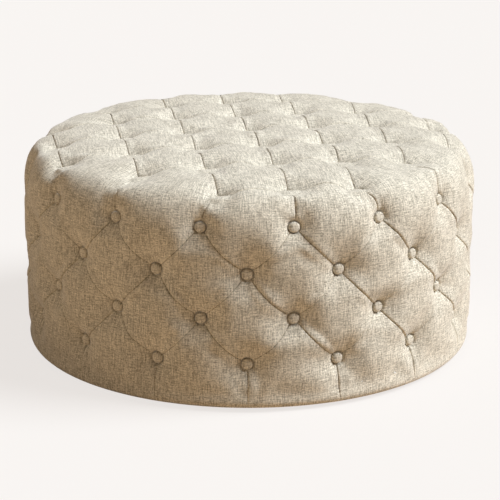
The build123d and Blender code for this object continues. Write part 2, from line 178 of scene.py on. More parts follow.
@dataclass(frozen=True)
class Drum:
    """Smooth drum that the tufts are pulled into, as one profile turned round the middle.

    Lengths are in metres. The profile runs from the middle of the top, over the rim and down
    the side, to the hem under the base.
    """

    radius: float
    height: float
    foot: float
    rim_width: float = 0.050
    rim_rise: float = 0.080
    crown_drop: float = 0.018
    crown_reach: float = 0.373
    crown_power: float = 4.0
    foot_roll: float = 0.014
    foot_tuck: float = 0.009
    hem_radius: float = 0.337
    samples: int = 4000
    turn_samples: int = 500
    hem_samples: int = 1000
    smoothing: float = 0.010

    def crown(self, out: np.ndarray | float) -> np.ndarray | float:
        """Gives the height of the top without its rim, at a distance from the middle."""
        return self.height - self.crown_drop * (out / self.crown_reach) ** self.crown_power

    def profile(self) -> tuple[np.ndarray, np.ndarray, np.ndarray]:
        """Gives the profile by its length.

        Returns:
            The length along the profile, the radius there and the height there.
        """
        out = np.linspace(0.0, self.radius, self.samples)
        crown = self.crown(out)
        rim_top = self.height - self.crown_drop
        inner = np.clip((out - self.radius + self.rim_width) / self.rim_width, 0.0, 1.0)
        roll = rim_top - self.rim_rise * (1.0 - np.sqrt(1.0 - inner**2))
        top = np.where(out > self.radius - self.rim_width, np.minimum(crown, roll), crown)
        wall = np.linspace(rim_top - self.rim_rise, self.foot + self.foot_roll, self.samples)
        turn = np.linspace(0.0, math.pi / 2, self.turn_samples)
        tuck_out = self.radius - self.foot_tuck * (1.0 - np.cos(turn))
        tuck_up = self.foot + self.foot_roll * (1.0 - np.sin(turn))
        hem = np.linspace(tuck_out[-1], self.hem_radius, self.hem_samples)
        rho = np.concatenate([out, np.full(wall.size, self.radius)[1:], tuck_out[1:], hem[1:]])
        up = np.concatenate([top, wall[1:], tuck_up[1:], np.full(hem.size, self.foot)[1:]])
        length = np.concatenate([[0.0], np.cumsum(np.hypot(np.diff(rho), np.diff(up)))])
        even = np.linspace(0.0, length[-1], self.samples)
        rho, up = np.interp(even, length, rho), np.interp(even, length, up)
        width = max(1, int(self.smoothing / even[1] / 2))
        window = np.hanning(2 * width + 3)[1:-1]
        window /= window.sum()
        smooth = []
        for line, before in ((rho, -1.0), (up, 1.0)):
            ends = before * line[width:0:-1], np.full(width, line[-1])
            smooth.append(np.convolve(np.concatenate([ends[0], line, ends[1]]), window, "valid"))
        return even, *smooth


@dataclass
class Shape:
    """The drum's profile, sampled once, with the charts that lay the seams out on it.

    A place on the drum is a complex number: its length is the length along the profile, and its
    angle is the angle round the drum.
    """

    drum: Drum
    length: np.ndarray = field(init=False)
    rho: np.ndarray = field(init=False)
    up: np.ndarray = field(init=False)

    def __post_init__(self) -> None:
        """Samples the profile."""
        self.length, self.rho, self.up = self.drum.profile()

    def slope(self, along: np.ndarray) -> tuple[np.ndarray, np.ndarray]:
        """Gives the profile's direction.

        Args:
            along: Lengths along the profile.

        Returns:
            The outward and the upward part of the unit direction.
        """
        out, rise = np.gradient(self.rho, self.length), np.gradient(self.up, self.length)
        out, rise = np.interp(along, self.length, out), np.interp(along, self.length, rise)
        size = np.hypot(out, rise)
        return out / size, rise / size

    def surface(self, chart: np.ndarray) -> tuple[np.ndarray, np.ndarray, np.ndarray]:
        """Places chart points in space.

        Args:
            chart: Places on the drum, as complex numbers.

        Returns:
            Points, outward normals and directions down the profile, three numbers each.
        """
        along, angle = np.abs(chart), np.angle(chart)
        rho, up = np.interp(along, self.length, self.rho), np.interp(along, self.length, self.up)
        out, rise = self.slope(along)
        cos, sin = np.cos(angle), np.sin(angle)
        points = np.stack([rho * cos, rho * sin, up], axis=-1)
        normals = np.stack([-rise * cos, -rise * sin, out], axis=-1)
        down = np.stack([out * cos, out * sin, rise], axis=-1)
        return points, normals, down

    def place(self, rho: float, up: float, sink: float) -> float:
        """Finds where a button must be pulled in from to end at a place.

        Args:
            rho: Radius of the button's seat.
            up: Height of the button's seat.
            sink: How far the seat lies under the drum.

        Returns:
            The length along the profile.
        """
        out, rise = self.slope(self.length)
        gap = np.hypot(self.rho + rise * sink - rho, self.up - out * sink - up)
        return float(self.length[int(np.argmin(gap))])


@dataclass(frozen=True)
class Tufting:
    """The pattern of buttons and seams, in counts and metres."""

    columns: int = 16
    row_heights: tuple[float, ...] = (0.333, 0.2505, 0.168, 0.0855)
    side_seats: tuple[float, ...] = (0.4126, 0.414, 0.414, 0.414)
    pitch: float = 0.122
    reach: int = 3
    sink: float = 0.0175
    seam_sag: float = 0.0050
    seam_wander: float = 0.0016
    half_edge: tuple[float, ...] = (
        0.0, 0.0042, 0.0136, 0.0305, 0.061, 0.105, 0.141, 0.161, 0.180, 0.200, 0.226,
        0.270, 0.340, 0.440, 0.570, 0.760, 1.0,
    )
    hem_rows: int = 5

    def in_grid(self, i: int, j: int) -> bool:
        """Says whether the square grid on the top has a button there."""
        return i * i + j * j <= self.reach**2 + 1

    def column_turn(self, column: int, row: int) -> complex:
        """Gives the direction of a button on the side, from the middle."""
        return np.exp(1j * ((column + 0.5 * (row % 2)) * math.tau / self.columns))


@dataclass
class Network:
    """Buttons, seams and cells of the cover, laid out on the drum.

    Every cell is a polygon of buttons and corners. Its edges are curves on the drum, shared
    with the next cell, and those that are seams of the real cover are kept for the folds.
    """

    shape: Shape
    tufting: Tufting
    skip: int = 1
    wander: np.random.Generator = field(init=False)
    spots: dict[Spot, complex] = field(default_factory=dict)
    edges: dict[tuple, np.ndarray] = field(default_factory=dict)
    kinds: dict[tuple, Seam] = field(default_factory=dict)
    cells: dict[Zone, list[list[Spot]]] = field(default_factory=dict)

    def __post_init__(self) -> None:
        """Lays out the buttons, then the cells with their edges."""
        self.wander = np.random.default_rng(SEED)
        self.cells = {Zone.TOP: [], Zone.SIDE: []}
        self.lay_spots()
        self.lay_top_cells()
        self.lay_rim_cells()
        self.lay_side_cells()

    def grid(self, past: int = 1) -> list[tuple[int, int]]:
        """Lists the square grid's places on the top, row by row."""
        span = range(-self.tufting.reach, self.tufting.reach + past)
        return [(i, j) for i in span for j in span]

    def lay_spots(self) -> None:
        """Places every button and every corner at the foot."""
        t, shape = self.tufting, self.shape
        for i, j in self.grid():
            if t.in_grid(i, j):
                flat = complex(i, j) * t.pitch
                seat = shape.drum.crown(abs(flat)) - t.sink
                along = shape.place(abs(flat), seat, t.sink) if flat else 0.0
                self.spots["top", i, j] = along * flat / abs(flat) if flat else 0j
        for row, (height, seat) in enumerate(zip(t.row_heights, t.side_seats)):
            along = shape.place(seat, height, t.sink)
            for column in range(t.columns):
                self.spots["side", row, column] = along * t.column_turn(column, row)
        foot = shape.place(shape.drum.radius - shape.drum.foot_tuck, shape.drum.foot, 0.0)
        last = len(t.row_heights) - 1
        for column in range(t.columns):
            self.spots["foot", 0, column] = foot * t.column_turn(column, last)

    def half_shares(self) -> np.ndarray:
        """Spaces the points of half an edge, close at the seam and again round the button."""
        return np.array(self.tufting.half_edge[:: self.skip])

    def join(self, start: Spot, end: Spot, kind: Seam) -> None:
        """Adds the edge between two spots, if it isn't there yet.

        Args:
            start: Name of the first spot.
            end: Name of the second spot.
            kind: Where the seam runs, or that there is none.
        """
        key = tuple(sorted((start, end), key=str))
        if key in self.edges:
            return
        a, b = self.spots[key[0]], self.spots[key[1]]
        half = self.half_shares() / 2.0
        share = np.concatenate([half, 1.0 - half[-2::-1]])
        bow = 4.0 * share * (1.0 - share)
        wander = self.wander.normal(0.0, self.tufting.seam_wander)
        if kind in (Seam.SIDE, Seam.FOOT, Seam.NONE):
            sag = self.tufting.seam_sag + wander if kind is Seam.SIDE else 0.0
            along = abs(a) + (abs(b) - abs(a)) * share + bow * sag
            sideways = wander / abs(a) if kind is Seam.FOOT else 0.0
            angle = np.angle(a) + np.angle(b / a) * share + bow * sideways
            curve = along * np.exp(1j * angle)
        else:
            across = 1j * (b - a) / abs(b - a)
            curve = a + (b - a) * share + across * bow * wander
        self.edges[key] = curve
        self.kinds[key] = kind

    def add_cell(self, zone: Zone, corners: list[Spot], kinds: list[Seam]) -> None:
        """Adds a cell and the edges round it.

        Args:
            zone: The linen piece that the cell belongs to.
            corners: The cell's spots, in order round it.
            kinds: The kind of the edge after each corner.
        """
        for start, end, kind in zip(corners, corners[1:] + corners[:1], kinds):
            self.join(start, end, kind)
        self.cells[zone].append(corners)

    def lay_top_cells(self) -> None:
        """Adds the squares of the top."""
        kinds = [Seam.TOP_ACROSS, Seam.TOP_ALONG] * 2
        for i, j in self.grid(past=0):
            square = [(i, j), (i + 1, j), (i + 1, j + 1), (i, j + 1)]
            if all(self.tufting.in_grid(*spot) for spot in square):
                self.add_cell(Zone.TOP, [("top", *spot) for spot in square], kinds)

    def lay_rim_cells(self) -> None:
        """Adds the lobes that come over the rim, down to the second row of buttons."""
        t = self.tufting
        inside = t.reach**2 - 1
        rim = [(i, j) for i, j in self.grid() if t.in_grid(i, j) and i * i + j * j >= inside]
        rim.sort(key=lambda spot: math.atan2(spot[1], spot[0]) % math.tau)
        for column, (spot, following) in enumerate(zip(rim, rim[1:] + rim[:1])):
            (i, j), (p, q) = spot, following
            inner = [("top", *spot)]
            if i != p and j != q:
                inner.append(("top", min(i, p, key=abs), min(j, q, key=abs)))
            inner.append(("top", *following))
            kinds = [
                Seam.TOP_ACROSS if a[2] == b[2] else Seam.TOP_ALONG
                for a, b in zip(inner, inner[1:])
            ]
            after = (column + 1) % t.columns
            outer = [("side", 0, after), ("side", 1, column), ("side", 0, column)]
            kinds += [Seam.RIM, Seam.SIDE, Seam.SIDE, Seam.RIM]
            self.add_cell(Zone.TOP, inner + outer, kinds)

    def lay_side_cells(self) -> None:
        """Adds the diamonds of the side and the tall cells at the foot."""
        t = self.tufting
        last = len(t.row_heights) - 1
        for row in range(1, last + 1):
            for column in range(t.columns):
                after = (column + 1) % t.columns
                peak = after if row % 2 else column
                top = ("side", row - 1, peak)
                left, right = ("side", row, column), ("side", row, after)
                if row < last:
                    corners = [top, right, ("side", row + 1, peak), left]
                    self.add_cell(Zone.SIDE, corners, [Seam.SIDE] * 4)
                else:
                    feet = [("foot", 0, after), ("foot", 0, column)]
                    kinds = [Seam.SIDE, Seam.FOOT, Seam.NONE, Seam.FOOT, Seam.SIDE]
                    self.add_cell(Zone.SIDE, [top, right, *feet, left], kinds)

    def curve(self, start: Spot, end: Spot) -> np.ndarray:
        """Gives an edge's points from one spot to the other.

        Args:
            start: Name of the first spot.
            end: Name of the last spot.

        Returns:
            Places on the drum.
        """
        key = tuple(sorted((start, end), key=str))
        points = self.edges[key]
        return points if key[0] == start else points[::-1]


@dataclass
class Relief:
    """How far the linen lies in from the drum: dimples at the buttons, valleys at the seams.

    Lengths are in metres. Distances are straight ones between points of the drum.
    """

    network: Network
    button_radius: float = 0.0099
    near_reach: float = 0.0075
    far_reach: float = 0.020
    near_share: float = 0.64
    crevice_depth: float = 0.0070
    crevice_width: float = 0.0013
    valley_depth: float = 0.0005
    valley_pull: float = 0.0022
    valley_width: float = 0.0070
    valley_reach: float = 0.022
    groove_depth: float = 0.0027
    groove_width: float = 0.0007
    top_groove_share: float = 0.45
    top_from: float = 0.372
    top_span: float = 0.022
    fold_lift: float = 0.0009
    fold_width: float = 0.0032
    pucker_height: float = 0.00045
    pucker_reach: float = 0.016
    pucker_count: int = 11
    pucker_spread: tuple[float, float] = (0.8, 1.5)
    unevenness: float = 0.0011
    uneven_scale: float = 0.085
    uneven_count: int = 26
    uneven_spread: tuple[float, float] = (0.5, 1.6)
    seam_step: float = 0.0015
    foot_hold: float = 0.030
    lap_depth: float = 0.0095
    lap_reach: float = 0.030
    lap_fade_share: float = 0.5
    lap_edge: float = 0.0014
    top_spots: np.ndarray = field(init=False)
    buttons: np.ndarray = field(init=False)
    samples: np.ndarray = field(init=False)
    over: np.ndarray = field(init=False)
    tree: kdtree.KDTree = field(init=False)

    def __post_init__(self) -> None:
        """Places the buttons and samples the seams."""
        network, shape = self.network, self.network.shape
        names = [name for name in network.spots if name[0] != "foot"]
        self.buttons = shape.surface(np.array([network.spots[name] for name in names]))[0]
        self.top_spots = self.buttons[[name[0] == "top" for name in names]]
        samples, overs = [], []
        for key, curve in network.edges.items():
            if network.kinds[key] is not Seam.NONE:
                chart = self.refined(curve)
                samples.append(shape.surface(chart)[0])
                overs.append(self.fold_side(network.kinds[key], chart))
        self.samples, self.over = np.concatenate(samples), np.concatenate(overs)
        self.tree = tree_of(self.samples)

    def refined(self, curve: np.ndarray) -> np.ndarray:
        """Spaces points evenly along an edge, closer than its own.

        Args:
            curve: The edge's own places on the drum.

        Returns:
            The closer ones.
        """
        run = np.concatenate([[0.0], np.cumsum(np.abs(np.diff(curve)))])
        even = np.linspace(0.0, run[-1], int(run[-1] / self.seam_step) + 2)
        return np.interp(even, run, curve.real) + 1j * np.interp(even, run, curve.imag)

    def fold_side(self, kind: Seam, chart: np.ndarray) -> np.ndarray:
        """Gives the direction of the puff that lies over the other at a seam.

        Args:
            kind: Where the seam runs.
            chart: Points of the seam.

        Returns:
            One direction for each point.
        """
        down, angle = self.network.shape.surface(chart)[2], np.angle(chart)
        round_it = np.stack([-np.sin(angle), np.cos(angle), np.zeros(angle.size)], axis=-1)
        sides = {
            Seam.SIDE: -down,
            Seam.RIM: round_it,
            Seam.FOOT: round_it,
            Seam.TOP_ACROSS: np.broadcast_to((0.0, 1.0, 0.0), down.shape),
            Seam.TOP_ALONG: np.broadcast_to((1.0, 0.0, 0.0), down.shape),
        }
        return sides[kind]

    def seam_distance(self, points: np.ndarray) -> tuple[np.ndarray, np.ndarray]:
        """Measures from points of the drum to the nearest seam.

        Args:
            points: Points of the drum.

        Returns:
            The distances, and for each point whether it is on the side of the upper puff.
        """
        nearest = np.array([self.tree.find(point)[1] for point in points])
        a = self.samples[nearest]
        best = np.full(len(points), np.inf)
        for step in (-1, 1):
            run = self.samples[np.clip(nearest + step, 0, len(self.samples) - 1)] - a
            size = np.einsum("ij,ij->i", run, run)
            near = size < (2.0 * self.seam_step) ** 2
            share = np.einsum("ij,ij->i", points - a, run) / np.maximum(size, TINY)
            share = np.clip(np.where(near, share, 0.0), 0.0, 1.0)
            gap = points - a - run * share[:, None]
            best = np.minimum(best, np.linalg.norm(gap, axis=1))
        return best, np.einsum("ij,ij->i", points - a, self.over[nearest]) > 0.0

    def button_distance(self, points: np.ndarray) -> tuple[np.ndarray, np.ndarray]:
        """Measures from points of the drum to every button, a block at a time.

        Args:
            points: Points of the drum.

        Returns:
            The distance to the nearest button, and the sum of the dimples' reach there.
        """
        nearest, pull = np.empty(len(points)), np.empty(len(points))
        for start in range(0, len(points), BLOCK):
            part = slice(start, start + BLOCK)
            gap = np.linalg.norm(points[part, None, :] - self.buttons[None, :, :], axis=2)
            nearest[part] = gap.min(axis=1)
            out = np.maximum(gap - self.button_radius, 0.0)
            near, far = np.exp(-out / self.near_reach), bell(out, self.far_reach)
            pull[part] = (self.near_share * near + (1.0 - self.near_share) * far).sum(axis=1)
        return nearest, pull

    def lapped(self, points: np.ndarray, depth: np.ndarray) -> np.ndarray:
        """Laps the nearer puff of the top over each button, up to the seam across it.

        Args:
            points: Points of the drum.
            depth: Depth of the linen without the laps.

        Returns:
            Depth of the linen with them.
        """
        result = depth.copy()
        for spot in self.top_spots:
            gap = points - spot
            out = np.hypot(gap[:, 0], gap[:, 1])
            near = (out < self.lap_reach) & (points[:, 2] > spot[2] - self.lap_reach)
            before = np.clip(1.0 - gap[near, 1] / self.lap_edge, 0.0, 1.0)
            share = (1.0 - out[near] / self.lap_reach) / self.lap_fade_share
            held = np.minimum(result[near], self.lap_depth)
            result[near] += (held - result[near]) * (before * np.clip(share, 0.0, 1.0))
        return result

    def folded(
        self, points: np.ndarray, depth: np.ndarray, nearest: np.ndarray, out: np.ndarray
    ) -> np.ndarray:
        """Adds what only the linen itself has: valleys, grooves, folds, crevices and puckers.

        Args:
            points: Points of the drum.
            depth: Depth of the padding there.
            nearest: Distance to the middle of the nearest button.
            out: Distance to that button's edge.

        Returns:
            Depth of the linen.
        """
        gap, upper = self.seam_distance(points)
        valley = self.valley_depth + self.valley_pull * np.exp(-out / self.valley_reach)
        depth = depth + valley * fade(out, self.near_reach) * bell(gap, self.valley_width)
        free = fade(out, self.fold_width)
        level = np.clip((points[:, 2] - self.top_from) / self.top_span, 0.0, 1.0)
        groove = self.groove_depth * (1.0 + (self.top_groove_share - 1.0) * level)
        depth += free * groove * bell(gap, self.groove_width)
        lift = gap / self.fold_width * np.exp(1.0 - gap / self.fold_width)
        depth -= free * self.fold_lift * lift * upper
        ring = nearest - self.button_radius - self.crevice_width
        depth += self.crevice_depth * bell(ring, self.crevice_width)
        puckers = ripples(
            points, SEED + 2, self.pucker_count, self.pucker_reach, self.pucker_spread
        )
        depth -= self.pucker_height * (puckers * np.exp(-out / self.pucker_reach))
        return self.lapped(points, depth)

    def depth(
        self, points: np.ndarray, folds: bool, rise: np.ndarray | float = 0.0
    ) -> np.ndarray:
        """Gives how far the linen lies in from the drum.

        Args:
            points: Points of the drum.
            folds: Whether the seams' folds are wanted, as on the outer face.
            rise: How far the padding has swelled at each point.

        Returns:
            One depth for each point, in metres.
        """
        nearest, pull = self.button_distance(points)
        out = np.maximum(nearest - self.button_radius, 0.0)
        depth = self.network.tufting.sink * np.minimum(pull, 1.0) - rise
        waves = ripples(
            points, SEED + 1, self.uneven_count, self.uneven_scale, self.uneven_spread
        )
        depth -= self.unevenness * waves * fade(out, self.near_reach)
        if folds:
            depth = self.folded(points, depth, nearest, out)
        up = (points[:, 2] - self.network.shape.drum.foot) / self.foot_hold
        return depth * np.clip(up, 0.0, 1.0) ** 2


@dataclass
class Quilt:
    """Quads over every cell, fine at the seams and coarse in the middle of the puffs."""

    network: Network
    zone: Zone
    places: np.ndarray = field(init=False)
    faces: np.ndarray = field(init=False)
    weave: np.ndarray = field(init=False)

    def __post_init__(self) -> None:
        """Fills the cells, then joins the points that lie on the same place."""
        patches, weaves = [], []
        for corners in self.network.cells[self.zone]:
            flat = all(name[0] == "top" for name in corners)
            for patch in self.cell(corners):
                patches.append(patch)
                weaves.append(patch if flat else self.round_places(patch))
        if self.zone is Zone.SIDE:
            for patch in self.hem():
                patches.append(patch)
                weaves.append(self.round_places(patch))
        quads, offset = [], 0
        for patch in patches:
            quads.append(grid_faces(offset + np.arange(patch.size).reshape(patch.shape)))
            offset += patch.size
        every, quads = np.concatenate([patch.ravel() for patch in patches]), np.concatenate(quads)
        self.weave = np.concatenate([cloth.ravel() for cloth in weaves])[quads.ravel()]
        first, joined = weld(every)
        self.places, self.faces = every[first], joined[quads]

    def cell(self, corners: list[Spot]) -> list[np.ndarray]:
        """Fills a cell with one patch for each corner.

        Args:
            corners: The cell's spots, in order round it.

        Returns:
            Square grids of places on the drum.
        """
        spots = np.array([self.network.spots[name] for name in corners])
        if np.sum((np.conj(spots) * np.roll(spots, -1)).imag) < 0.0:
            corners = corners[::-1]
        share = self.network.half_shares()
        count, half = len(corners), len(share) - 1
        curves = [self.network.curve(corners[k], corners[(k + 1) % count]) for k in range(count)]
        middles = np.array([curve[half] for curve in curves])
        centre = middles.mean()
        spokes = [middle + (centre - middle) * share for middle in middles]
        u, v = share[:, None], share[None, :]
        patches = []
        for k in range(count):
            low, high = curves[k][: half + 1], spokes[k - 1]
            left, right = curves[k - 1][: half - 1 : -1], spokes[k]
            blend = (1 - v) * low[:, None] + v * high[:, None]
            blend = blend + (1 - u) * left[None, :] + u * right[None, :]
            blend = blend - (1 - u) * ((1 - v) * low[0] + v * high[0])
            blend = blend - u * ((1 - v) * low[-1] + v * high[-1])
            patches.append(blend)
        return patches

    def hem(self) -> list[np.ndarray]:
        """Continues the side under the base, to the edge that is stapled there.

        Returns:
            One grid of places for each column.
        """
        tufting, end = self.network.tufting, self.network.shape.length[-1]
        steps = np.linspace(0, 1, tufting.hem_rows + 1)[:, None]
        patches = []
        for column in range(tufting.columns):
            after = (column + 1) % tufting.columns
            edge = self.network.curve(("foot", 0, column), ("foot", 0, after))
            patches.append(edge[None, :] * (1.0 + (end / np.abs(edge) - 1.0)[None, :] * steps))
        return patches

    def round_places(self, patch: np.ndarray) -> np.ndarray:
        """Gives the cloth's own flat places on the side, in metres.

        Args:
            patch: Places on the drum.

        Returns:
            The same places round the drum and down it.
        """
        middle = patch.ravel().mean()
        turn = np.angle(middle) + np.angle(patch / middle)
        return turn * self.network.shape.drum.radius + 1j * np.abs(patch)


def make_piece(
    name: str,
    points: np.ndarray,
    faces: np.ndarray,
    weave: np.ndarray | None = None,
    smooth: bool = True,
) -> Piece:
    """Makes an object of quads.

    Args:
        name: Name of the piece.
        points: Its points, in metres.
        faces: Four point numbers for each face.
        weave: A flat place of the cloth for each corner of each face, if it has a weave.
        smooth: Whether its faces are shaded smooth.

    Returns:
        The object, in the scene.
    """
    mesh = bpy.data.meshes.new(name)
    mesh.vertices.add(len(points))
    mesh.vertices.foreach_set("co", np.asarray(points, dtype=np.float32).ravel())
    mesh.loops.add(faces.size)
    mesh.loops.foreach_set("vertex_index", faces.astype(np.int32).ravel())
    mesh.polygons.add(len(faces))
    mesh.polygons.foreach_set("loop_start", np.arange(0, faces.size, 4, dtype=np.int32))
    mesh.update(calc_edges=True)
    mesh.validate()
    mesh.polygons.foreach_set("use_smooth", np.full(len(faces), smooth))
    if weave is not None:
        layer = mesh.uv_layers.new(name="weave")
        flat = np.stack([weave.real, weave.imag], axis=1).astype(np.float32)
        layer.uv.foreach_set("vector", flat.ravel())
    piece = bpy.data.objects.new(name, mesh)
    bpy.context.scene.collection.objects.link(piece)
    return piece


def thicken(outer: np.ndarray, inner: np.ndarray, faces: np.ndarray) -> tuple:
    """Closes an open sheet of quads with a second sheet and a rim.

    Args:
        outer: Points of the outer sheet.
        inner: Points of the inner sheet, one for each outer one.
        faces: Faces of the outer sheet.

    Returns:
        All the points and all the faces.
    """
    sides = np.stack([faces, np.roll(faces, -1, axis=1)], axis=2).reshape(-1, 2)
    ordered = np.sort(sides, axis=1)
    where, counts = np.unique(ordered, axis=0, return_inverse=True, return_counts=True)[1:]
    edge = sides[counts[where.ravel()] == 1]
    size = len(outer)
    rim = np.stack([edge[:, 1], edge[:, 0], edge[:, 0] + size, edge[:, 1] + size], axis=1)
    return np.concatenate([outer, inner]), np.concatenate([faces, faces[:, ::-1] + size, rim])


@dataclass
class Inflation:
    """Padding that swells under the linen: a cloth with pressure in it, held at the buttons.

    Lengths are in metres. The seams hold the cloth softly, and the foot holds it fast.
    """

    relief: Relief
    pressure: float = 4.0
    growth: float = 0.03
    frames: int = 20
    quality: int = 6
    half_edge_points: int = 8
    start_inside: float = 0.004
    cap: float = 0.0055
    button_hold: float = 0.003
    seam_hold: float = 0.08
    seam_reach: float = 0.003
    neighbours: int = 9
    rises: np.ndarray = field(init=False)
    tree: kdtree.KDTree | None = field(init=False, default=None)

    def __post_init__(self) -> None:
        relief = self.relief
        points, normals, faces = self.sheet()
        out = np.maximum(relief.button_distance(points)[0] - relief.button_radius, 0.0)
        inside = self.start_inside * fade(out, relief.near_reach)
        start = points - normals * (relief.depth(points, folds=False) + inside)[:, None]
        held = np.where(relief.seam_distance(points)[0] < self.seam_reach, self.seam_hold, 0.0)
        foot = relief.network.shape.drum.foot + relief.foot_hold
        held[(out < self.button_hold) | (points[:, 2] < foot)] = 1.0
        moved = np.einsum("ij,ij->i", self.swell(start, faces, held) - start, normals)
        self.rises = np.clip(moved, -self.cap, self.cap) - inside
        self.tree = tree_of(points)
        log.info("the padding swelled by %.4f m at most", moved.max())

    def sheet(self) -> tuple[np.ndarray, np.ndarray, np.ndarray]:
        """Lays an even sheet of quads over the whole drum.

        Returns:
            Its points on the smooth drum, their normals and its faces.
        """
        network = self.relief.network
        even = tuple(np.linspace(0.0, 1.0, self.half_edge_points + 1))
        evened = Network(network.shape, replace(network.tufting, half_edge=even, hem_rows=1))
        top, side = Quilt(evened, Zone.TOP), Quilt(evened, Zone.SIDE)
        places = np.concatenate([top.places, side.places])
        first, joined = weld(places)
        points, normals, _ = network.shape.surface(places[first])
        return points, normals, joined[np.concatenate([top.faces, side.faces + len(top.places)])]

    def swell(self, start: np.ndarray, faces: np.ndarray, held: np.ndarray) -> np.ndarray:
        """Lets a cloth swell for a few frames.

        Args:
            start: Its points.
            faces: Its faces.
            held: How firmly each point is held, from 0 to 1.

        Returns:
            Its points afterwards.
        """
        piece = make_piece("swelling", start, faces)
        group = piece.vertex_groups.new(name="held")
        for weight in np.unique(held):
            group.add(np.flatnonzero(held == weight).tolist(), float(weight), "REPLACE")
        cloth = piece.modifiers.new("swelling", "CLOTH")
        cloth.settings.quality = self.quality
        cloth.settings.vertex_group_mass = group.name
        cloth.settings.use_pressure = True
        cloth.settings.uniform_pressure_force = self.pressure
        cloth.settings.shrink_min = -self.growth
        cloth.settings.effector_weights.gravity = 0.0
        cloth.collision_settings.use_collision = False
        cloth.point_cache.frame_start, cloth.point_cache.frame_end = 1, self.frames
        scene = bpy.context.scene
        for frame in range(1, self.frames + 1):
            scene.frame_set(frame)
        swollen = piece.evaluated_get(bpy.context.evaluated_depsgraph_get())
        end = np.empty(start.size)
        swollen.data.vertices.foreach_get("co", end)
        scene.frame_set(1)
        bpy.data.objects.remove(piece)
        return end.reshape(start.shape)

    def rise(self, points: np.ndarray) -> np.ndarray:
        """Gives how far the linen stands above its plain form.

        Args:
            points: Points of the smooth drum.

        Returns:
            One rise for each point, smooth between the cloth's own points.
        """
        if self.tree is None:
            return np.zeros(len(points))
        found = [self.tree.find_n(point, self.neighbours) for point in points]
        index = np.array([[hit[1] for hit in hits] for hits in found])
        gap = np.array([[hit[2] for hit in hits] for hits in found])
        weight = (1.0 - gap / gap[:, -1:]) ** 2
        return (self.rises[index] * weight).sum(axis=1) / weight.sum(axis=1)


class Graph:
    """Adds nodes to one node tree and joins them."""

    def __init__(self, tree: bpy.types.NodeTree) -> None:
        """Starts with an empty tree."""
        self.tree = tree
        tree.nodes.clear()

    def node(self, kind: str, **settings: object) -> bpy.types.Node:
        """Adds a node.

        Args:
            kind: Blender's name of the node type.
            settings: Values of the node's own options.

        Returns:
            The node.
        """
        made = self.tree.nodes.new(kind)
        for name, value in settings.items():
            setattr(made, name, value)
        return made

    def feed(self, socket: Socket, value: object) -> None:
        """Joins a socket to another, or sets it to a plain value.

        Args:
            socket: The socket that takes the value.
            value: A socket, a number, a vector or a colour.
        """
        if isinstance(value, Socket):
            self.tree.links.new(value, socket)
        elif socket.type == "RGBA":
            socket.default_value = (*value, 1.0)
        else:
            socket.default_value = value

    def fed(
        self, kind: str, inputs: dict[str | int, object], output: str | int = 0, **settings: object
    ) -> Socket:
        """Adds a node with its inputs fed.

        Args:
            kind: Blender's name of the node type.
            inputs: Values or sockets, by the input's name or number.
            output: Which of its outputs is wanted.
            settings: Values of the node's own options.

        Returns:
            That output.
        """
        made = self.node(kind, **settings)
        for name, value in inputs.items():
            self.feed(made.inputs[name], value)
        return made.outputs[output]

    def maths(self, operation: str, *values: object) -> Socket:
        """Adds a sum of plain numbers or sockets and gives its result."""
        return self.fed("ShaderNodeMath", dict(enumerate(values)), operation=operation)

    def noise(self, place: object, scale: object, detail: float) -> Socket:
        """Gives smooth noise between 0 and 1."""
        inputs = {"Vector": place, "Scale": scale, "Detail": detail}
        return self.fed("ShaderNodeTexNoise", inputs, "Fac")

    def spread(self, value: object, low: float, high: float) -> Socket:
        """Stretches a part of a mask's range over 0 to 1."""
        inputs = {"Value": value, "From Min": low, "From Max": high}
        return self.fed("ShaderNodeMapRange", inputs, "Result")

    def blend(self, share: object, first: Colour, second: Colour) -> Socket:
        """Gives a colour between two."""
        inputs = {"Factor": share, "A": first, "B": second}
        return self.fed("ShaderNodeMix", inputs, "Result", data_type="RGBA")


@dataclass(frozen=True)
class Effect:
    """A node group that finishes share. It turns a place and a few settings into masks."""

    title: ClassVar[str]
    inputs: ClassVar[dict[str, str]]
    outputs: ClassVar[tuple[str, ...]]

    def masks(self, graph: Graph, given: list[Socket]) -> tuple[Socket, ...]:
        """Adds the effect's own nodes.

        Args:
            graph: The group's graph.
            given: The group's inputs, in order.

        Returns:
            The group's outputs, in order.
        """
        raise NotImplementedError

    def make(self) -> bpy.types.NodeTree:
        """Makes the node group.

        Returns:
            The group.
        """
        tree = bpy.data.node_groups.new(self.title, "ShaderNodeTree")
        graph = Graph(tree)
        for name, kind in self.inputs.items():
            tree.interface.new_socket(name=name, in_out="INPUT", socket_type=kind)
        for name in self.outputs:
            tree.interface.new_socket(name=name, in_out="OUTPUT", socket_type=NUMBER)
        given, out = graph.node("NodeGroupInput"), graph.node("NodeGroupOutput")
        sockets = [given.outputs[name] for name in self.inputs]
        for name, mask in zip(self.outputs, self.masks(graph, sockets)):
            graph.feed(out.inputs[name], mask)
        return tree


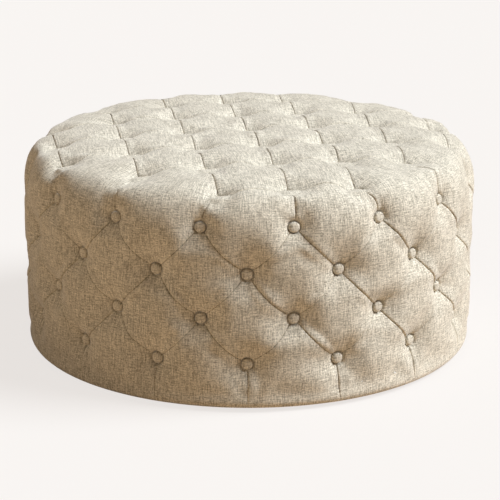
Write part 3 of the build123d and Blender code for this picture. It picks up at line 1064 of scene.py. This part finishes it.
@dataclass(frozen=True)
class Weave(Effect):
    """Plain-woven threads with thick places in both directions. Lengths are in metres."""

    title = "woven_threads"
    inputs = {"Place": VECTOR, "Pitch": NUMBER, "Slub Length": NUMBER, "Slub Width": NUMBER}
    outputs = ("Height", "Slub", "Fleck")
    bend: float = 0.004
    bend_scale: float = 90.0
    bend_detail: float = 2.0
    crossing_height: float = 0.35
    ridge_height: float = 0.3
    slub_height: float = 0.8
    slub_detail: float = 1.5
    slub_starts: tuple[float, float] = (3.1, 7.7)
    slub_range: tuple[float, float] = (0.33, 0.67)
    fleck_scale: float = 0.5
    fleck_detail: float = 1.0
    fleck_range: tuple[float, float] = (0.34, 0.66)

    def masks(self, graph: Graph, given: list[Socket]) -> tuple[Socket, ...]:
        """Adds ridges where the threads run, and noise that is drawn out along them.

        Args:
            graph: The group's graph.
            given: Place, pitch, slub length and slub width.

        Returns:
            Height, slubs and flecks.
        """
        place, pitch, length, width = given
        cut = graph.node("ShaderNodeSeparateXYZ")
        graph.feed(cut.inputs[0], place)
        turn = graph.maths("DIVIDE", math.pi, pitch)
        bend = graph.noise(place, self.bend_scale, self.bend_detail)
        bend = graph.maths("MULTIPLY", graph.maths("SUBTRACT", bend, 0.5), self.bend)
        threads = []
        for axis in (0, 1):
            moved = graph.maths("ADD", cut.outputs[axis], bend)
            threads.append(graph.maths("SINE", graph.maths("MULTIPLY", moved, turn)))
        ridges = graph.maths("ADD", *(graph.maths("ABSOLUTE", thread) for thread in threads))
        height = graph.maths("MULTIPLY", ridges, self.ridge_height)
        crossing = graph.maths("MULTIPLY", *threads)
        height = graph.maths("MULTIPLY_ADD", crossing, self.crossing_height, height)
        long, short = graph.maths("DIVIDE", 1.0, length), graph.maths("DIVIDE", 1.0, width)
        slubs = []
        for scales, start in zip(((long, short), (short, long)), self.slub_starts):
            drawn: dict[int, object] = {2: start}
            for axis, scale in enumerate(scales):
                drawn[axis] = graph.maths("MULTIPLY", cut.outputs[axis], scale)
            joined = graph.fed("ShaderNodeCombineXYZ", drawn)
            slubs.append(graph.noise(joined, 1.0, self.slub_detail))
        slub = graph.maths("SUBTRACT", graph.maths("ADD", *slubs), 0.5)
        small = graph.maths("MULTIPLY", short, self.fleck_scale)
        fleck = graph.noise(place, small, self.fleck_detail)
        return (
            graph.maths("MULTIPLY_ADD", slub, self.slub_height, height),
            graph.spread(slub, *self.slub_range),
            graph.spread(fleck, *self.fleck_range),
        )


@dataclass(frozen=True)
class Grain(Effect):
    """Long wood grain with fine pores."""

    title = "wood_grain"
    inputs = {"Place": VECTOR, "Along": VECTOR, "Rings": NUMBER}
    outputs = ("Rings", "Pores")
    ring_scale: float = 0.45
    ring_detail: float = 3.0
    ring_turns: float = 12.0
    pore_scale: float = 7.0
    pore_detail: float = 2.0
    pore_range: tuple[float, float] = (0.4, 0.75)

    def masks(self, graph: Graph, given: list[Socket]) -> tuple[Socket, ...]:
        """Adds rings from slow noise, and pores from fine noise.

        Args:
            graph: The group's graph.
            given: Place, scale along each axis and count of rings.

        Returns:
            Rings and pores.
        """
        place = graph.fed("ShaderNodeVectorMath", {0: given[0], 1: given[1]}, operation="MULTIPLY")
        base = graph.noise(place, self.ring_scale, self.ring_detail)
        turns = graph.maths("MULTIPLY", given[2], self.ring_turns)
        swing = graph.maths("SINE", graph.maths("MULTIPLY", base, turns))
        pores = graph.noise(place, self.pore_scale, self.pore_detail)
        rings = graph.maths("MULTIPLY_ADD", swing, 0.5, 0.5)
        return rings, graph.spread(pores, *self.pore_range)


@dataclass(frozen=True)
class Mottle(Effect):
    """Soft patches, wide and small ones together."""

    title = "mottle"
    inputs = {"Place": VECTOR, "Scale": NUMBER}
    outputs = ("Patches", "Specks")
    patch_detail: float = 4.0
    patch_range: tuple[float, float] = (0.3, 0.7)
    speck_ratio: float = 14.0
    speck_detail: float = 2.0
    speck_range: tuple[float, float] = (0.35, 0.65)

    def masks(self, graph: Graph, given: list[Socket]) -> tuple[Socket, ...]:
        """Adds two sizes of noise.

        Args:
            graph: The group's graph.
            given: Place and scale.

        Returns:
            Patches and specks.
        """
        place, scale = given
        patches = graph.noise(place, scale, self.patch_detail)
        small = graph.maths("MULTIPLY", scale, self.speck_ratio)
        specks = graph.noise(place, small, self.speck_detail)
        return graph.spread(patches, *self.patch_range), graph.spread(specks, *self.speck_range)


@dataclass
class Effects:
    """Makes each shared effect once, and places it in materials."""

    groups: dict[str, bpy.types.NodeTree] = field(default_factory=dict)

    def place(self, graph: Graph, effect: Effect, **values: object) -> dict[str, Socket]:
        """Places an effect in a material.

        Args:
            graph: The material's graph.
            effect: The effect.
            values: Its inputs, with _ for the spaces in their names.

        Returns:
            Its masks by name.
        """
        if effect.title not in self.groups:
            self.groups[effect.title] = effect.make()
        made = graph.node("ShaderNodeGroup", node_tree=self.groups[effect.title])
        for name, value in values.items():
            graph.feed(made.inputs[name.replace("_", " ")], value)
        return {name: made.outputs[name] for name in effect.outputs}


@dataclass(frozen=True)
class Finish:
    """A surface of two colours mixed by masks, with a bump and a roughness that may vary.

    The mix adds up the masks by their shares. At 0 it shows the first colour.
    """

    name: str
    first: Colour
    second: Colour
    roughness: float
    mix: dict[str, float]
    bump: str
    bump_height: float
    bump_strength: float = 0.5
    mottle_scale: float = 16.0
    mix_start: float = 0.0
    rough_spread: float = 0.0
    metallic: float = 0.0
    sheen: float = 0.0
    sheen_roughness: float = 0.5
    specular: float = 0.5

    def masks(self, effects: Effects, graph: Graph) -> dict[str, Socket]:
        """Gives the masks that the finish can use, by name."""
        place = graph.node("ShaderNodeTexCoord").outputs["Object"]
        return effects.place(graph, Mottle(), Place=place, Scale=self.mottle_scale)

    def make(self, effects: Effects) -> bpy.types.Material:
        """Makes the material.

        Args:
            effects: The shared effects.

        Returns:
            The material, with every constant on the shader's own socket.
        """
        material = bpy.data.materials.new(self.name)
        material.use_nodes = True
        graph = Graph(material.node_tree)
        masks = self.masks(effects, graph)
        share: object = self.mix_start
        for name, part in self.mix.items():
            share = graph.maths("MULTIPLY_ADD", masks[name], part, share)
        relief = {
            "Height": masks[self.bump],
            "Distance": self.bump_height,
            "Strength": self.bump_strength,
        }
        inputs = {
            "Base Color": graph.blend(share, self.first, self.second),
            "Roughness": self.roughness,
            "Metallic": self.metallic,
            "Sheen Weight": self.sheen,
            "Sheen Roughness": self.sheen_roughness,
            "Specular IOR Level": self.specular,
            "Normal": graph.fed("ShaderNodeBump", relief, "Normal"),
        }
        if self.rough_spread:
            low = self.roughness - self.rough_spread / 2.0
            rough = graph.maths("MULTIPLY_ADD", masks["Specks"], self.rough_spread, low)
            inputs["Roughness"] = rough
        shaded = graph.fed("ShaderNodeBsdfPrincipled", inputs, "BSDF")
        graph.feed(graph.node("ShaderNodeOutputMaterial").inputs["Surface"], shaded)
        return material


@dataclass(frozen=True, kw_only=True)
class ClothFinish(Finish):
    """Woven cloth: threads, thick places, flecks and a soft sheen. Lengths are in metres."""

    pitch: float
    slub_length: float
    slub_width: float

    def masks(self, effects: Effects, graph: Graph) -> dict[str, Socket]:
        """Gives the masks of the mottle and of the weave, by name.

        Args:
            effects: The shared effects.
            graph: The material's graph.

        Returns:
            The masks.
        """
        threads = effects.place(
            graph,
            Weave(),
            Place=graph.node("ShaderNodeUVMap", uv_map="weave").outputs["UV"],
            Pitch=self.pitch,
            Slub_Length=self.slub_length,
            Slub_Width=self.slub_width,
        )
        return super().masks(effects, graph) | threads


@dataclass(frozen=True, kw_only=True)
class WoodFinish(Finish):
    """Bare wood or board with grain, pores and a little dirt."""

    along: tuple[float, float, float]
    rings: float

    def masks(self, effects: Effects, graph: Graph) -> dict[str, Socket]:
        """Gives the masks of the mottle and of the grain, by name.

        Args:
            effects: The shared effects.
            graph: The material's graph.

        Returns:
            The masks.
        """
        place = graph.node("ShaderNodeTexCoord").outputs["Object"]
        grain = effects.place(graph, Grain(), Place=place, Along=self.along, Rings=self.rings)
        return super().masks(effects, graph) | grain


def cloth(
    name: str, deep: Colour, pale: Colour, flecks: float, patches: float, **more: object
) -> ClothFinish:
    """Gives a woven cloth.

    Args:
        name: Name of the finish.
        deep: Its deeper colour.
        pale: Its paler colour.
        flecks: The part of the mix that is flecks. The rest of it is slubs.
        patches: How far wide patches change the mix.
        more: The finish's other values.

    Returns:
        The finish.
    """
    mix = {"Fleck": flecks, "Slub": 1.0 - flecks, "Patches": patches}
    values = {"mix_start": -patches / 2.0, "bump": "Height", "bump_height": 0.0002, "specular": 0.2}
    return ClothFinish(name, deep, pale, mix=mix, **values, **more)


PLYWOOD = WoodFinish(
    "birch_plywood",
    (0.62, 0.46, 0.29),
    (0.42, 0.28, 0.15),
    roughness=0.7,
    mix={"Rings": 0.55, "Pores": 0.3, "Patches": 0.15},
    bump="Pores",
    bump_height=0.0003,
    bump_strength=0.4,
    mottle_scale=9.0,
    rough_spread=0.12,
    specular=0.3,
    along=(5.0, 42.0, 900.0),
    rings=1.3,
)
BLACK_PLASTIC = Finish(
    "black_glide_plastic",
    (0.03, 0.03, 0.03),
    (0.015, 0.015, 0.015),
    roughness=0.45,
    mix={"Patches": 1.0},
    bump="Specks",
    bump_height=0.00005,
    mottle_scale=60.0,
    rough_spread=0.2,
)
WADDING = Finish(
    "polyester_wadding",
    (0.62, 0.62, 0.60),
    (0.85, 0.85, 0.83),
    roughness=0.95,
    mix={"Specks": 1.0},
    bump="Specks",
    bump_height=0.001,
    bump_strength=0.7,
    mottle_scale=40.0,
    sheen=0.2,
    specular=0.1,
)
FINISHES: dict[str, Finish] = {
    "linen": cloth(
        "oatmeal_linen",
        (0.29, 0.265, 0.21),
        (0.96, 0.905, 0.785),
        flecks=0.45,
        patches=0.06,
        pitch=0.0011,
        slub_length=0.018,
        slub_width=0.0014,
        bump_strength=0.10,
        roughness=0.9,
        sheen=0.3,
    ),
    "dust_cloth": cloth(
        "black_dust_cloth",
        (0.018, 0.018, 0.02),
        (0.045, 0.045, 0.047),
        flecks=0.35,
        patches=0.18,
        pitch=0.0016,
        slub_length=0.03,
        slub_width=0.003,
        roughness=0.8,
        sheen=0.1,
    ),
    "plywood": PLYWOOD,
    "softwood": replace(
        PLYWOOD,
        name="pine",
        first=(0.66, 0.47, 0.26),
        second=(0.45, 0.27, 0.12),
        along=(5.0, 90.0, 90.0),
        rings=2.2,
    ),
    "hardboard": replace(
        PLYWOOD,
        name="brown_hardboard",
        first=(0.20, 0.115, 0.06),
        second=(0.13, 0.07, 0.035),
        along=(60.0, 60.0, 60.0),
        rings=0.7,
        roughness=0.6,
    ),
    "steel": replace(
        BLACK_PLASTIC,
        name="zinc_steel",
        first=(0.62, 0.62, 0.60),
        second=(0.42, 0.42, 0.41),
        roughness=0.38,
        metallic=1.0,
    ),
    "glide_plastic": BLACK_PLASTIC,
    "toggle_plastic": replace(
        BLACK_PLASTIC,
        name="white_toggle_plastic",
        first=(0.75, 0.75, 0.72),
        second=(0.62, 0.62, 0.58),
        roughness=0.5,
    ),
    "twine": replace(
        WADDING,
        name="waxed_twine",
        first=(0.45, 0.38, 0.26),
        second=(0.72, 0.66, 0.52),
        mottle_scale=300.0,
        bump_height=0.0002,
    ),
    "wadding": WADDING,
    "foam": replace(
        WADDING,
        name="pale_foam",
        first=(0.62, 0.56, 0.36),
        second=(0.78, 0.73, 0.52),
        mottle_scale=90.0,
        bump_height=0.0006,
    ),
}


@dataclass(frozen=True)
class Workshop:
    """Gives pieces their materials and their places in the frame."""

    materials: dict[str, bpy.types.Material]

    def dress(self, piece: Piece, slot: str, *stands_for: str) -> Piece:
        """Gives a piece its finish and its place in the frame.

        Args:
            piece: The piece.
            slot: The record's slot that it takes its finish from.
            stands_for: The nodes that it replaces.

        Returns:
            The same piece.
        """
        piece.data.materials.append(self.materials[slot])
        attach(piece, BODY)
        if stands_for:
            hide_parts(*stands_for)
        log.info("made %s: %d faces", piece.name, len(piece.data.polygons))
        return piece


@dataclass
class Upholstery:
    """The tufted linen and the padding under it."""

    workshop: Workshop
    drum: Drum
    tufting: Tufting = field(default_factory=Tufting)
    padding_skip: int = 4
    linen_gap: float = 0.0020
    padding_base: float = 0.0135
    panel_radius: float = 0.3985
    deck_height: float = 0.3585
    network: Network = field(init=False)
    relief: Relief = field(init=False)
    inflation: Inflation = field(init=False)

    def __post_init__(self) -> None:
        """Lays out the tufting, and lets the padding swell in it."""
        self.network = Network(Shape(self.drum), self.tufting)
        self.relief = Relief(self.network)
        self.inflation = Inflation(self.relief)

    def laid(self, quilt: Quilt, folds: bool, under: float = 0.0) -> np.ndarray:
        """Lays a quilt's points on the swollen padding.

        Args:
            quilt: The quilt.
            folds: Whether the seams' folds are wanted.
            under: How far under the linen it lies.

        Returns:
            The points.
        """
        points, normals, _ = self.network.shape.surface(quilt.places)
        depth = self.relief.depth(points, folds, self.inflation.rise(points)) + under
        return points - normals * depth[:, None]

    def cover(self, zone: Zone, name: str, *stands_for: str) -> None:
        """Makes one linen piece.

        Args:
            zone: Which piece.
            name: Its name.
            stands_for: The nodes that it replaces.
        """
        quilt = Quilt(self.network, zone)
        piece = make_piece(name, self.laid(quilt, folds=True), quilt.faces, quilt.weave)
        self.workshop.dress(piece, "linen", *stands_for)

    def padding(self, zone: Zone, name: str, *stands_for: str) -> None:
        """Makes the foam and wadding under one linen piece, as one closed form.

        Args:
            zone: Which piece.
            name: Its name.
            stands_for: The nodes that it replaces.
        """
        quilt = Quilt(Network(self.network.shape, self.tufting, self.padding_skip), zone)
        outer = self.laid(quilt, folds=False, under=self.relief.valley_pull + self.linen_gap)
        inner = outer.copy()
        out = np.maximum(np.hypot(inner[:, 0], inner[:, 1]), TINY)
        shrink = (self.panel_radius / out)[:, None]
        if zone is Zone.TOP:
            low = outer[:, 2] < self.deck_height
            inner[low, :2] *= shrink[low]
            inner[:, 2] = np.minimum(self.deck_height, outer[:, 2])
        else:
            inner[:, :2] *= shrink
            outer[:, 2] = np.maximum(outer[:, 2], self.padding_base)
            inner[:, 2] = outer[:, 2]
        piece = make_piece(name, *thicken(outer, inner, quilt.faces))
        self.workshop.dress(piece, "wadding", *stands_for)

    def build(self) -> None:
        """Makes the linen and the padding, top and side."""
        self.cover(Zone.TOP, "linen_top_cover", "top_cover", "side_cover")
        self.cover(Zone.SIDE, "linen_side_cover", "side_cover")
        self.padding(Zone.TOP, "top_padding", "top_foam", "top_wadding", "side_foam")
        self.padding(Zone.SIDE, "side_padding", "side_foam", "side_wadding")


@dataclass
class CoveredButtons:
    """Linen-covered buttons, one piece for each row and one for the top.

    An outline gives the radius and the height of each ring of points, from the middle out.
    """

    workshop: Workshop
    upholstery: Upholstery
    outline: Outline = (
        (0.0, 0.00520),
        (0.0036, 0.00510),
        (0.0062, 0.00480),
        (0.0078, 0.00425),
        (0.0090, 0.00330),
        (0.0098, 0.00180),
        (0.0101, 0.00000),
        (0.0098, -0.00200),
        (0.0088, -0.00400),
    )
    flat_outline: Outline = (
        (0.0, 0.00190),
        (0.0045, 0.00188),
        (0.0080, 0.00175),
        (0.0096, 0.00150),
        (0.0104, 0.00100),
        (0.0108, 0.00020),
        (0.0104, -0.00100),
    )
    pole_share: float = 0.02
    cloth_step: float = 0.05
    segments: int = 32

    def dome(self, outline: Outline) -> tuple[np.ndarray, np.ndarray, np.ndarray]:
        """Turns an outline round.

        Args:
            outline: The outline.

        Returns:
            Points, faces and the cloth's flat places.
        """
        turn = np.exp(2j * math.pi * np.arange(self.segments) / self.segments)
        radii, rise = np.array(outline).T
        radii[0] = radii[1] * self.pole_share
        rings = radii[:, None] * turn[None, :]
        heights = np.broadcast_to(rise[:, None], rings.shape)
        points = np.stack([rings.real, rings.imag, heights], axis=-1).reshape(-1, 3)
        faces = ring_faces(rings)
        return points, faces, rings.ravel()[faces.ravel()]

    def build_row(self, name: str, node: str, outline: Outline, start: tuple) -> None:
        """Makes the buttons of a row.

        Args:
            name: Name of the piece.
            node: The node that the piece replaces.
            outline: The outline of each button.
            start: What the names of the buttons' spots begin with.
        """
        network = self.upholstery.network
        charts = [spot for key, spot in network.spots.items() if key[: len(start)] == start]
        dome, faces, weave = self.dome(outline)
        points, quads, places = [], [], []
        for k, (seat, out, along) in enumerate(zip(*network.shape.surface(np.array(charts)))):
            frame = np.stack([np.cross(out, along), -along, out])
            points.append(seat - out * network.tufting.sink + dome @ frame)
            quads.append(faces + k * len(dome))
            places.append(weave + self.cloth_step * k)
        piece = make_piece(name, *map(np.concatenate, (points, quads, places)))
        smoother = piece.modifiers.new("rounding", "SUBSURF")
        smoother.levels = smoother.render_levels = 1
        self.workshop.dress(piece, "linen", node)

    def build(self) -> None:
        """Makes every row's buttons, and those of the top."""
        for row in range(len(self.upholstery.tufting.row_heights)):
            name = f"row_{row + 1}_button"
            self.build_row(f"{name}s", f"{name}_caps", self.outline, ("side", row))
        self.build_row("top_buttons", "top_button_caps", self.flat_outline, ("top",))


@dataclass
class Base:
    """What shows under the ottoman: the dust cloth, stapled flat over the hem."""

    workshop: Workshop
    radius: float = 0.3758
    height: float = 0.0050
    thickness: float = 0.0009
    inner_share: float = 0.004
    rings: int = 22
    segments: int = 160
    ripple: float = 0.0003
    ripple_share: float = 0.5
    staple_pulls: int = 32
    pull_power: int = 6
    sways: int = 5
    sway_turn: float = 1.0

    def build(self) -> None:
        """Makes the dust cloth, slightly slack between its staples."""
        turn = math.tau * np.arange(self.segments) / self.segments
        out = np.linspace(self.inner_share, 1.0, self.rings) * self.radius
        flat = out[:, None] * np.exp(1j * turn)[None, :]
        share = (out / self.radius)[:, None]
        pulls = np.cos(turn * self.staple_pulls)[None, :] * share**self.pull_power
        pulls = pulls + np.cos(turn * self.sways + self.sway_turn)[None, :] * share
        rise = self.height + self.ripple * (1.0 + self.ripple_share * pulls)
        outer = np.stack([flat.real, flat.imag, rise], axis=-1).reshape(-1, 3)
        faces = ring_faces(flat)[:, (0, 3, 2, 1)]
        every, closed = thicken(outer, outer + np.array([0.0, 0.0, self.thickness]), faces)
        weave = np.tile(flat.ravel(), 2)[closed.ravel()]
        piece = make_piece("base_dust_cloth", every, closed, weave)
        self.workshop.dress(piece, "dust_cloth", "dust_cover")


@dataclass
class Carcass:
    """The nodes that keep their own shape: boards, rings, posts, ties and fixings."""

    workshop: Workshop

    def dress(self, nodes: dict[str, Piece]) -> None:
        """Gives every node that stays its finish.

        Args:
            nodes: The frame's nodes by name.
        """
        for name, node in nodes.items():
            for place in node.material_slots:
                slot = place.material.name.split(".")[0]
                if slot in self.workshop.materials:
                    place.material = self.workshop.materials[slot]
            log.info("dressed %s", name)


@dataclass(frozen=True)
class Lamp:
    """A broad lamp far off, and where it stands as the camera sees it."""

    name: str
    strength: float
    colour: Colour
    softness: float
    right: float
    near: float
    up: float


@dataclass
class Studio:
    """The floor, the light and the camera."""

    azimuth: float = -10.9
    elevation: float = 17.65
    distance: float = 3.442
    lens: float = 126.3
    sensor: float = 36.0
    aim: tuple[float, float, float] = (0.0, 0.0, 0.163)
    shift: float = 0.0028
    sight: float = 100.0
    backdrop: Colour = (0.947, 0.913, 0.888)
    floor_radius: float = 30.0
    floor_gap: float = 0.0003
    floor_glow: Colour = (0.928, 0.891, 0.864)
    floor_seen: Colour = (0.90, 0.90, 0.90)
    floor_bounce: Colour = (0.50, 0.35, 0.215)
    floor_lit_share: float = 0.17
    fill: Colour = (0.11, 0.090, 0.072)
    lamps: tuple[Lamp, ...] = (
        Lamp("key_light", 4.5, (0.97, 1.0, 1.02), 30.0, 0.70, 0.05, 0.71),
        Lamp("side_light", 0.72, (1.0, 0.76, 0.50), 60.0, -0.95, 0.20, 0.10),
    )

    def white_rays(self, graph: Graph) -> Socket:
        """Finds the rays that see the plain backdrop, not its light.

        Args:
            graph: The graph that asks.

        Returns:
            1 where the camera, a reflection or a clear piece looks, and 0 elsewhere.
        """
        rays = graph.node("ShaderNodeLightPath").outputs
        seen = graph.maths("MAXIMUM", rays["Is Glossy Ray"], rays["Is Camera Ray"])
        return graph.maths("MAXIMUM", seen, rays["Is Transmission Ray"])

    def build_world(self) -> None:
        """Makes the plain backdrop and the fill light."""
        world = bpy.data.worlds.new("studio")
        world.use_nodes = True
        graph = Graph(world.node_tree)
        seen = graph.blend(self.white_rays(graph), self.fill, self.backdrop)
        back = graph.fed("ShaderNodeBackground", {"Color": seen})
        graph.feed(graph.node("ShaderNodeOutputWorld").inputs["Surface"], back)
        bpy.context.scene.world = world

    def build_floor(self) -> None:
        """Makes the pale floor, which keeps a faint shadow."""
        corners = self.floor_radius * np.array([[-1, -1], [1, -1], [1, 1], [-1, 1]])
        points = np.concatenate([corners, np.full((4, 1), -self.floor_gap)], axis=1)
        floor = make_piece("studio_floor", points, np.array([[0, 1, 2, 3]]), smooth=False)
        material = bpy.data.materials.new("studio_floor")
        material.use_nodes = True
        graph = Graph(material.node_tree)
        white = self.white_rays(graph)
        colour = graph.blend(white, self.floor_bounce, self.floor_seen)
        plain = graph.fed("ShaderNodeBsdfDiffuse", {"Color": colour})
        glow = graph.fed("ShaderNodeEmission", {"Color": self.floor_glow})
        share = graph.maths("MULTIPLY", white, 1.0 - self.floor_lit_share)
        mixed = graph.fed("ShaderNodeMixShader", {0: share, 1: plain, 2: glow})
        graph.feed(graph.node("ShaderNodeOutputMaterial").inputs["Surface"], mixed)
        floor.data.materials.append(material)

    def stand(self, name: str, data: bpy.types.ID, way: tuple[float, float, float]) -> Piece:
        """Stands a lamp or the camera in the scene, looking at the middle.

        Args:
            name: Its name.
            data: Its lamp or camera data.
            way: Where it stands as the photo's camera sees it: right, near and up.

        Returns:
            The object.
        """
        (right, near, up), turn = way, math.radians(self.azimuth)
        cos, sin = math.cos(turn), math.sin(turn)
        back = Vector((cos * right + sin * near, sin * right - cos * near, up))
        made = bpy.data.objects.new(name, data)
        made.location = Vector(self.aim) + back * self.distance
        made.rotation_euler = back.to_track_quat("Z", "Y").to_euler()
        bpy.context.scene.collection.objects.link(made)
        return made

    def build_lamp(self, lamp: Lamp) -> None:
        """Makes one lamp.

        Args:
            lamp: The lamp.
        """
        data = bpy.data.lights.new(lamp.name, "SUN")
        data.energy = lamp.strength
        data.color = lamp.colour
        data.angle = math.radians(lamp.softness)
        self.stand(lamp.name, data, (lamp.right, lamp.near, lamp.up))

    def build_camera(self) -> None:
        """Makes the camera at the photograph's angle."""
        tilt = math.radians(self.elevation)
        data = bpy.data.cameras.new("camera")
        data.lens, data.sensor_width = self.lens, self.sensor
        data.shift_x = self.shift
        data.clip_end = self.sight
        camera = self.stand("camera", data, (0.0, math.cos(tilt), math.sin(tilt)))
        bpy.context.scene.camera = camera

    def build(self) -> None:
        """Sets up the whole studio."""
        self.build_world()
        self.build_floor()
        for lamp in self.lamps:
            self.build_lamp(lamp)
        self.build_camera()
        bpy.context.scene.view_settings.view_transform = "Standard"


def main() -> None:
    """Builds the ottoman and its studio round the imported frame."""
    logging.basicConfig(level=logging.INFO, format="%(name)s: %(message)s")
    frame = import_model()
    effects = Effects()
    workshop = Workshop({slot: finish.make(effects) for slot, finish in FINISHES.items()})
    upholstery = Upholstery(workshop, Drum(radius=0.4315, height=0.4125, foot=0.0060))
    upholstery.build()
    CoveredButtons(workshop, upholstery).build()
    Base(workshop).build()
    Carcass(workshop).dress(frame["nodes"])
    Studio().build()


if __name__ == "__main__":
    main()
